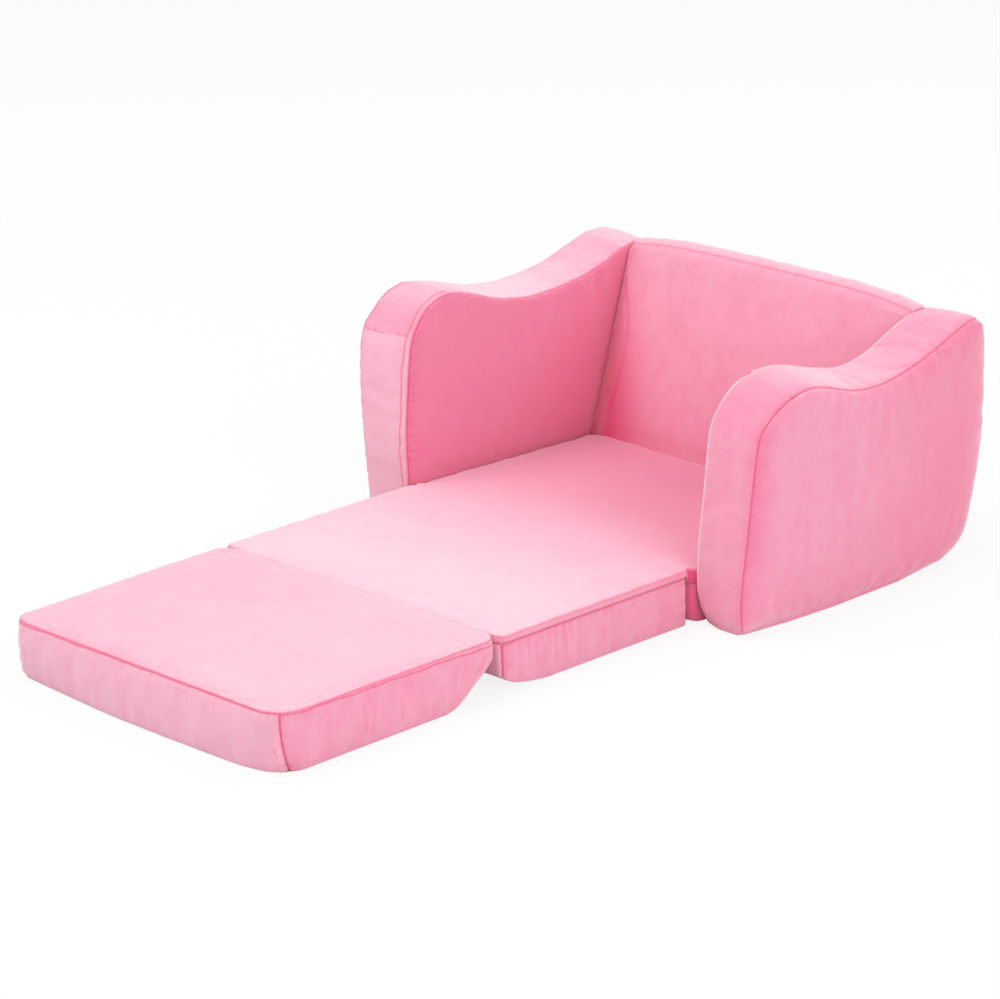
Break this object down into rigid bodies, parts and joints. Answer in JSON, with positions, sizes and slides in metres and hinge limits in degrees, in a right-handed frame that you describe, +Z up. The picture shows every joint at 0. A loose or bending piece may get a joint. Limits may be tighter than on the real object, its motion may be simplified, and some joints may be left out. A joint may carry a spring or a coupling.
{
  "type": "children's flip-open foam sofa",
  "caption": "Child's low foam sofa with curved arms, whose seat cushion folds open into a flat lounger, in pink plush covers.",
  "frame": {"origin": "middle of the footprint on the floor, with the sofa opened flat", "axes": "+Z up, +Y from the opened panels towards the backrest, +X to the right of someone who faces the sofa"},
  "size_m": [0.748, 1.3164, 0.374],
  "materials": {
    "pink_plush": "short velvety plush with a soft sheen",
    "foam": "open-cell foam, matte",
    "underside_cloth": "plain woven cloth with grip dots, matte",
    "zip_nylon": "nylon coil on woven tape, satin",
    "zip_slider": "enamelled, semi-gloss"
  },
  "bodies": {
    "chair": {"back_foam": "foam", "back_front_panel": "pink_plush", "back_rear_panel": "pink_plush", "back_top_boxing": "pink_plush", "chair_floor_cloth": "underside_cloth", "chair_zip": "zip_nylon", "left_arm_foam": "foam", "left_arm_front_boxing": "pink_plush", "left_arm_inner_panel": "pink_plush", "left_arm_outer_panel": "pink_plush", "left_arm_top_boxing": "pink_plush", "right_arm_foam": "foam", "right_arm_front_boxing": "pink_plush", "right_arm_inner_panel": "pink_plush", "right_arm_outer_panel": "pink_plush", "right_arm_top_boxing": "pink_plush", "seat_foam": "foam", "seat_fold_hinge": "pink_plush", "seat_front_panel": "pink_plush", "seat_top_panel": "pink_plush"},
    "chair_zip_slider": {"chair_zip_slider": "zip_slider"},
    "middle_panel": {"middle_floor_cloth": "underside_cloth", "middle_foam": "foam", "middle_front_boxing": "pink_plush", "middle_left_boxing": "pink_plush", "middle_rear_boxing": "pink_plush", "middle_right_boxing": "pink_plush", "middle_top_panel": "pink_plush", "middle_zip": "zip_nylon", "floor_fold_hinge": "underside_cloth"},
    "middle_zip_slider": {"middle_zip_slider": "zip_slider"},
    "end_panel": {"end_floor_cloth": "underside_cloth", "end_foam": "foam", "end_front_boxing": "pink_plush", "end_left_boxing": "pink_plush", "end_rear_boxing": "pink_plush", "end_right_boxing": "pink_plush", "end_top_panel": "pink_plush", "end_zip": "zip_nylon"},
    "end_zip_slider": {"end_zip_slider": "zip_slider"}
  },
  "joints": [
    {"name": "middle_panel_fold", "type": "hinge", "parent": "chair", "child": "middle_panel", "pos_m": [0, 0.12533, 0.0845], "axis": [-1, 0, 0], "range_deg": [0, 180], "deforming": ["seat_fold_hinge"]},
    {"name": "end_panel_fold", "type": "hinge", "parent": "middle_panel", "child": "end_panel", "pos_m": [0, -0.25067, -0.00015], "axis": [1, 0, 0], "range_deg": [0, 180], "deforming": ["floor_fold_hinge"]},
    {"name": "chair_zip_slide", "type": "slide", "parent": "chair", "child": "chair_zip_slider", "axis": [1, 0, 0], "range_m": [0, 0.431]},
    {"name": "middle_zip_slide", "type": "slide", "parent": "middle_panel", "child": "middle_zip_slider", "axis": [0, -1, 0], "range_m": [0, 0.191]},
    {"name": "end_zip_slide", "type": "slide", "parent": "end_panel", "child": "end_zip_slider", "axis": [0, -1, 0], "range_m": [0, 0.191]}
  ],
  "couplings": [
    {"joint": "end_panel_fold", "follows": "middle_panel_fold", "ratio": 1}
  ]
}
